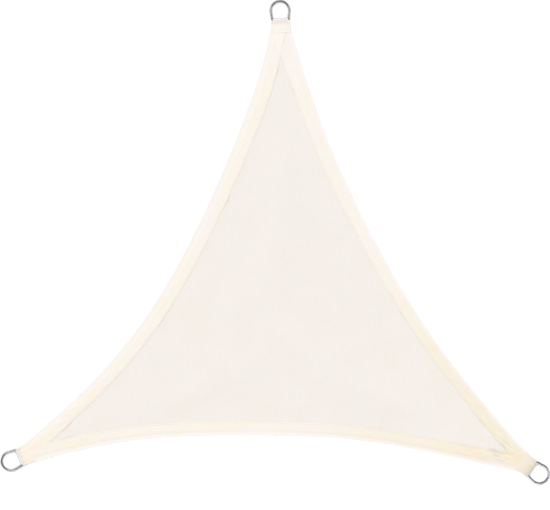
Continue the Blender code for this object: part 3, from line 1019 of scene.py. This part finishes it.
# ================================================================ finishes
# The sail's colour where more than one sheet lies: from how many sheets to how many it comes
# in, its colour at large, at the right-hand corner, and at the left-hand one.
SHEET_TONES = (
    (1.0, 1.9, (0.803, 0.765, 0.724), (0.772, 0.714, 0.634), None),
    (2.1, 2.9, (0.800, 0.763, 0.703), (0.768, 0.704, 0.582), (0.802, 0.750, 0.672)),
    (3.2, 5.2, (0.822, 0.776, 0.752), (0.764, 0.692, 0.574), (0.804, 0.749, 0.678)),
)
# Painted shade along the rounded folds of the hems: a paler, greyer tone.
FOLD_PAINTED_SHADE_TONE = (0.802, 0.782, 0.777)
RIB_PITCH, LOOP_PITCH = 0.0084, 0.0030  # of the sail's knit, in metres
STRAP_RIB_PITCH, STRAP_LOOP_PITCH = 0.0063, 0.0022
WHITE = (1.0, 1.0, 1.0)
SHADED_WHITE = (0.45, 0.45, 0.46)  # what the polished rings mirror near the ground


class Tree:
    """Adds nodes to a node tree."""

    def __init__(self, tree):
        self.tree = tree

    def feed(self, node, inputs):
        """Links each input to a socket or sets its value; a colour comes without its alpha."""
        for key, value in inputs.items():
            socket = node.inputs[key]
            if isinstance(value, bpy.types.NodeSocket):
                self.tree.links.new(value, socket)
            else:
                socket.default_value = (*value, 1.0) if socket.type == "RGBA" else value

    def add(self, kind, inputs=None, **settings):
        node = self.tree.nodes.new(kind)
        for name, value in settings.items():
            setattr(node, name, value)
        self.feed(node, inputs or {})
        return node

    def math(self, operation, first, second=0.0):
        return self.add("ShaderNodeMath", {0: first, 1: second}, operation=operation).outputs[0]

    def plus(self, first, second):
        return self.math("ADD", first, second)

    def times(self, first, *others):
        for other in others:
            first = self.math("MULTIPLY", first, other)
        return first

    def vector(self, operation, first, second, result="Vector"):
        inputs = {0: first, 1: second}
        return self.add("ShaderNodeVectorMath", inputs, operation=operation).outputs[result]

    def ramp(self, value, low, high, new_low=0.0, new_high=1.0, kind="SMOOTHSTEP"):
        inputs = {"Value": value, "From Min": low, "From Max": high}
        inputs.update({"To Min": new_low, "To Max": new_high})
        return self.add("ShaderNodeMapRange", inputs, interpolation_type=kind).outputs["Result"]

    def between(self, share, first, last):
        return self.ramp(share, 0.0, 1.0, first, last, "LINEAR")

    def mix(self, share, first, second, blend="MIX"):
        inputs = {0: share, 6: first, 7: second}
        return self.add("ShaderNodeMix", inputs, data_type="RGBA", blend_type=blend).outputs[2]

    def noise(self, vector, scale, detail=3.0, roughness=0.5):
        inputs = {"Vector": vector, "Scale": scale, "Detail": detail, "Roughness": roughness}
        return self.add("ShaderNodeTexNoise", inputs).outputs["Fac"]

    def split(self, vector):
        return self.add("ShaderNodeSeparateXYZ", {"Vector": vector}).outputs

    def attribute(self, name, result="Fac"):
        return self.add("ShaderNodeAttribute", attribute_name=name).outputs[result]


class Finish(Tree):
    """A material: plain values are set on its shader, and its nodes give what changes."""

    def __init__(self, name, **settings):
        self.material = bpy.data.materials.new(name)
        self.material.use_nodes = True
        super().__init__(self.material.node_tree)
        self.shader = self.tree.nodes["Principled BSDF"]
        self.feed(self.shader, {key.replace("_", " "): value for key, value in settings.items()})

    def place(self):
        return self.add("ShaderNodeTexCoord").outputs["Object"]

    def from_bar(self, place, name):
        """How far each point lies from the middle of a ring's bar."""
        return self.vector("DISTANCE", place, (*BARS[name], 0.0), "Value")

    def weave(self, knit, rib_pitch, loop_pitch):
        """The knit on the map of the cloth as it was cut."""
        flat = self.add("ShaderNodeUVMap", uv_map="flat_cloth").outputs["UV"]
        inputs = {"Vector": flat, "Rib Pitch": rib_pitch, "Loop Pitch": loop_pitch}
        return self.add("ShaderNodeGroup", inputs, node_tree=knit).outputs

    def shaded(self, tone, shade):
        grey = self.add("ShaderNodeCombineXYZ", {0: shade, 1: shade, 2: shade}).outputs[0]
        return self.mix(1.0, tone, grey, "MULTIPLY")

    def complete(self, tone, rough, height, strength, distance):
        """Puts the colour, the roughness and a relief on the shader."""
        relief = {"Strength": strength, "Distance": distance, "Height": height}
        bump = self.add("ShaderNodeBump", relief).outputs["Normal"]
        self.feed(self.shader, {"Base Color": tone, "Roughness": rough, "Normal": bump})
        return self.material


def knit_group():
    """Knitted cloth on a map in metres: chains of loops that run along y, every third one
    proud, with slanting threads laid in between them."""
    group = bpy.data.node_groups.new("knit", "ShaderNodeTree")
    number = "NodeSocketFloat"
    inputs = {"Vector": "NodeSocketVector", "Rib Pitch": number, "Loop Pitch": number}
    for label, kind in inputs.items():
        group.interface.new_socket(label, in_out="INPUT", socket_type=kind)
    for label in ("Height", "Rib", "Thread"):
        group.interface.new_socket(label, in_out="OUTPUT", socket_type=number)
    tree = Tree(group)

    def crests(turns, low=-1.0):
        return tree.ramp(tree.math("COSINE", turns), low, 1.0)

    given = tree.add("NodeGroupInput").outputs
    split = tree.split(given["Vector"])
    sway = tree.times(tree.noise(given["Vector"], 9.0, detail=2.0), 0.006)
    across = tree.math("DIVIDE", tree.plus(split["X"], sway), given["Rib Pitch"])
    across = tree.times(across, math.tau)
    along = tree.times(tree.math("DIVIDE", split["Y"], given["Loop Pitch"]), math.tau)
    rib, chain, loops = crests(across), crests(tree.times(across, 3.0)), crests(along)
    laid = crests(tree.plus(along, tree.times(across, 1.5)), -0.6)
    chained = tree.times(chain, tree.plus(tree.times(loops, 0.35), 0.65))
    laid_bare = tree.times(tree.math("SUBTRACT", 1.0, chain), tree.times(laid, 0.55))
    thread = tree.plus(chained, laid_bare)
    height = tree.plus(tree.times(rib, 0.45), tree.times(thread, 0.55))
    tree.add("NodeGroupOutput", {"Height": height, "Rib": rib, "Thread": thread})
    return group


def use(piece, material):
    piece.data.materials.clear()
    piece.data.materials.append(material)


def shade_cloth_material(knit):
    """Cream knitted cloth: greyer where it is one sheet, warmer and fuller where it is
    turned over, and yellowest round the right-hand corner. Shade is painted along its folds,
    along its sewn rows and into the creases by the right-hand corner, with highlights painted
    on those creases' crests."""
    tree = Finish("cream_shade_cloth", Sheen_Weight=0.12, Sheen_Roughness=0.5, Specular_IOR_Level=0.25)
    place = tree.place()
    weave = tree.weave(knit, RIB_PITCH, LOOP_PITCH)
    sheets = tree.attribute("sheets")

    # One sheet is duller in patches, and more so towards the lower edge.
    patches = tree.ramp(tree.noise(place, 9.0, detail=2.5), 0.42, 0.62)
    lower = tree.ramp(tree.split(place)["Y"], 0.30, -0.20)
    dull = tree.times(patches, tree.plus(tree.times(lower, 0.75), 0.25))
    tone = tree.mix(dull, (0.764, 0.720, 0.687), (0.754, 0.714, 0.664))

    corner = tree.from_bar(place, "right")
    yellowing = tree.ramp(corner, 1.05, 0.0)
    leftwards = tree.ramp(tree.from_bar(place, "left"), 0.60, 0.08)
    for low, high, plain, at_right, at_left in SHEET_TONES:
        over = tree.mix(yellowing, plain, at_right)
        if at_left:
            over = tree.mix(leftwards, over, at_left)
        tone = tree.mix(tree.ramp(sheets, low, high), tone, over)
    # Painted shade along each fold.
    tone = tree.mix(tree.times(tree.attribute("rim"), 0.85), tone, FOLD_PAINTED_SHADE_TONE)

    # The hems' tint changes along and across them.
    slanted = tree.attribute("slanted", "Vector")
    stretched = tree.vector("MULTIPLY", slanted, (1.0, 0.75, 7.7))
    warm = tree.ramp(tree.noise(stretched, 12.0, detail=4.0, roughness=0.6), 0.36, 0.64)
    tint = tree.mix(warm, (1.008, 0.985, 1.010), (0.992, 0.999, 0.954))
    aside = tree.vector("ADD", stretched, (3.1, 0.7, 0.0))
    orange = tree.ramp(tree.noise(aside, 13.0, roughness=0.55), 0.54, 0.66)
    tint = tree.mix(orange, tint, (1.013, 0.980, 0.932))
    tone = tree.mix(tree.ramp(sheets, 1.0, 1.9), tone, tint, "MULTIPLY")

    # Fine creases along the hems, where the right-hand corner pulls on their inner edges: shade is
    #     painted into their hollows and highlights onto their crests, and the same marks raise the
    #     bump.
    drawn = tree.vector("MULTIPLY", slanted, (0.65, 4.2, 3.3))
    lines = tree.noise(drawn, 30.0, detail=1.5)
    pulled = tree.times(
        tree.ramp(corner, 0.22, 0.13),
        tree.ramp(corner, 0.075, 0.100),
        tree.ramp(tree.split(slanted)["Y"], 0.014, 0.030),
    )
    painted_crease_shade = tree.times(pulled, tree.ramp(lines, 0.52, 0.66), -0.12)
    painted_crease_highlight = tree.times(pulled, tree.ramp(lines, 0.48, 0.36), 0.045)
    crease_painted_light_and_relief = tree.plus(painted_crease_shade, painted_crease_highlight)

    shown = tree.ramp(tree.noise(place, 7.0, detail=2.0), 0.40, 0.65, 0.25, 1.0)
    ribs = tree.times(tree.math("SUBTRACT", weave["Rib"], 0.5), 0.017, shown)
    threads = tree.between(weave["Thread"], 0.978, 1.012)
    # Painted shade along the sewn rows, where the thread pulls the cloth down.
    pressed = tree.ramp(tree.attribute("sewn"), 0.0, 1.0, 1.0, 0.97)
    cloudy = tree.ramp(tree.noise(place, 45.0, detail=5.0, roughness=0.65), 0.2, 0.8, 0.991, 1.009)
    shade = tree.times(tree.plus(ribs, 1.0), threads, pressed, cloudy, tree.plus(crease_painted_light_and_relief, 1.0))
    relief = tree.plus(weave["Height"], tree.times(crease_painted_light_and_relief, 6.0))
    rough = tree.between(weave["Thread"], 0.92, 0.72)
    return tree.complete(tree.shaded(tone, shade), rough, relief, 0.5, 0.0006)


def strap_material(knit):
    """Cream cloth of a finer knit, yellower to the left and right, with light and shade painted
    onto it: darker and greyer at its fold, lighter and darker along its gathers.
    """
    tree = Finish("cream_strap_cloth", Sheen_Weight=0.1, Sheen_Roughness=0.5, Specular_IOR_Level=0.25)
    place = tree.place()
    weave = tree.weave(knit, STRAP_RIB_PITCH, STRAP_LOOP_PITCH)
    at_left = tree.ramp(tree.from_bar(place, "left"), 0.8, 0.1)
    at_right = tree.ramp(tree.from_bar(place, "right"), 0.8, 0.1)
    tone = tree.mix(at_left, (0.828, 0.778, 0.728), (0.838, 0.768, 0.665))
    tone = tree.mix(at_right, tone, (0.772, 0.700, 0.585))
    # Painted shade: greyer towards the front of the strap's fold, from its table.
    tone = tree.mix(tree.attribute("painted_grey_shade"), tone, (0.800, 0.778, 0.763))
    threads = tree.between(weave["Thread"], 0.95, 1.03)
    # Painted shade along the sewn rows, where the thread pulls the cloth down.
    pressed = tree.ramp(tree.attribute("sewn"), 0.0, 1.0, 1.0, 0.96)
    # The strap's painted light and shade, from its table and its gathers.
    shade = tree.times(threads, pressed, tree.attribute("painted_light_and_shade"))
    rough = tree.between(weave["Thread"], 0.9, 0.7)
    return tree.complete(tree.shaded(tone, shade), rough, weave["Height"], 0.5, 0.0005)


def thread_material():
    """Cream thread, a little fuzzy."""
    tree = Finish("cream_thread", Specular_IOR_Level=0.4)
    fuzz = tree.noise(tree.place(), 900.0, detail=4.0)
    tone = tree.mix(fuzz, (0.70, 0.655, 0.585), (0.80, 0.765, 0.70))
    return tree.complete(tone, tree.ramp(fuzz, 0.2, 0.8, 0.75, 0.5), fuzz, 0.4, 0.0002)


def steel_material():
    """Polished steel with a faint fine grain, smears and small dull spots."""
    tree = Finish("polished_steel", Metallic=1.0)
    place = tree.place()
    smear = tree.noise(place, 90.0, detail=4.0, roughness=0.6)
    fine = tree.noise(place, 1400.0, roughness=0.7)
    tone = tree.mix(tree.ramp(smear, 0.3, 0.7), (0.505, 0.490, 0.502), (0.605, 0.588, 0.600))
    dull = tree.plus(tree.ramp(smear, 0.35, 0.75, 0.10, 0.20), tree.times(fine, 0.06))
    return tree.complete(tone, dull, fine, 0.12, 0.0001)


# ================================================================ studio
def make_floor():
    """A white floor, which the polished steel sees darker."""
    bpy.ops.object.select_all(action="DESELECT")
    bpy.ops.mesh.primitive_plane_add(size=80.0, location=(0.0, 0.0, -0.0002))
    floor = bpy.context.active_object
    floor.name = "studio_floor"
    tree = Finish("white_floor", Roughness=0.9, Emission_Color=WHITE, Emission_Strength=0.12)
    mirrored = tree.add("ShaderNodeLightPath").outputs["Is Glossy Ray"]
    tone = tree.mix(mirrored, (0.93, 0.925, 0.93), SHADED_WHITE)
    tree.feed(tree.shader, {"Base Color": tone})
    use(floor, tree.material)


def make_world():
    """White from all round for the cloth; polished steel sees a studio with darker walls."""
    world = bpy.data.worlds.new("white_studio")
    bpy.context.scene.world = world
    world.use_nodes = True
    world.node_tree.nodes.clear()
    tree = Tree(world.node_tree)
    ray = tree.add("ShaderNodeLightPath").outputs

    def background(tone, strength):
        inputs = {"Color": tone, "Strength": strength}
        return tree.add("ShaderNodeBackground", inputs).outputs[0]

    def by_ray(kind, others, these):
        return tree.add("ShaderNodeMixShader", {0: ray[kind], 1: others, 2: these}).outputs[0]

    way = tree.add("ShaderNodeTexCoord").outputs["Generated"]
    walls = tree.add("ShaderNodeValToRGB", {"Fac": tree.split(way)["Z"]})
    stops = walls.color_ramp.elements
    stops[0].color, stops[1].color = (*SHADED_WHITE, 1.0), (0.25, 0.25, 0.26, 1.0)
    for height, level in ((0.18, 0.22), (0.45, 0.14), (0.80, 0.17)):
        stops.new(height).color = (level, level, level, 1.0)
    mirrored = background(walls.outputs["Color"], 1.0)
    lit = by_ray("Is Glossy Ray", background(WHITE, 0.87), mirrored)
    both = by_ray("Is Camera Ray", lit, background((1.0, 0.995, 1.0), 1.05))
    tree.add("ShaderNodeOutputWorld", {"Surface": both})


def new_lamp(name, kind, **settings):
    light = bpy.data.lights.new(name, kind)
    for label, value in settings.items():
        setattr(light, label, value)
    return new_object(name, light)


def make_key_light():
    """A wide light that shades the cloth softly and leaves no glint on the steel."""
    lamp = new_lamp("key_light", "SUN", energy=1.45, angle=math.radians(36.0))
    lamp.rotation_euler = (math.radians(-40.0), 0.0, math.radians(28.0))
    lamp.visible_glossy = False


def make_panel(panel):
    """One soft panel, which shows in the steel and doesn't light the cloth."""
    corner = CORNER_NAMED[panel.corner]
    size = {"shape": "RECTANGLE", "size": panel.wide, "size_y": panel.tall}
    lamp = new_lamp(f"panel_{panel.corner}", "AREA", energy=panel.energy, **size)
    way = bearing(corner.facing_deg + panel.turn_deg)
    lean = math.radians(panel.lean_deg)
    eye = behind_bar(BARS, corner, -RING_EYE, 0.0)
    lamp.location = (*(eye + way * panel.away), panel.height)
    aim = Vector((*(-way * math.cos(lean)), -math.sin(lean)))
    lamp.rotation_euler = aim.to_track_quat("-Z", "Y").to_euler()
    lamp.visible_camera = lamp.visible_diffuse = False


def make_camera():
    """Straight above, placed so that two of the bars fall on their places in the picture."""
    left, right = np.array(LEFT_BAR_PX), np.array(RIGHT_BAR_PX)
    scale = BASE_SPAN / np.linalg.norm(right - left)
    slope = math.atan2(right[1] - left[1], right[0] - left[0])
    middle = np.array((PICTURE_WIDTH, PICTURE_HEIGHT)) / 2 - left
    across = middle[0] * math.cos(slope) + middle[1] * math.sin(slope)
    down = -middle[0] * math.sin(slope) + middle[1] * math.cos(slope)
    x, y = BARS["left"] + np.array((across, -down)) * scale
    data = bpy.data.cameras.new("camera")
    data.lens, data.sensor_width = LENS_MM, SENSOR_MM
    camera = new_object("camera", data)
    camera.location = (x, y, PICTURE_WIDTH * scale * LENS_MM / SENSOR_MM)
    camera.rotation_euler = (0.0, 0.0, slope)
    bpy.context.scene.camera = camera


# ================================================================ the whole
bpy.context.scene.view_settings.view_transform = "Standard"
make_camera()
make_world()
make_key_light()
make_floor()
for panel in PANELS:
    make_panel(panel)

knit = knit_group()
cloth, strap_cloth = shade_cloth_material(knit), strap_material(knit)
thread, steel = thread_material(), steel_material()

sail, hems = make_sail()
use(sail, cloth)
hem_sewing = sew_hems(hems)
for piece in hem_sewing:
    use(piece, thread)

ring = ring_form()
for seed, corner in enumerate(CORNERS):
    strap, length = make_strap(corner, seed)
    use(strap, strap_cloth)
    strap_sewing = sew_strap(corner, seed)
    use(strap_sewing, thread)
    use(make_ring(corner, ring), steel)
bpy.data.objects.remove(ring, do_unlink=True)
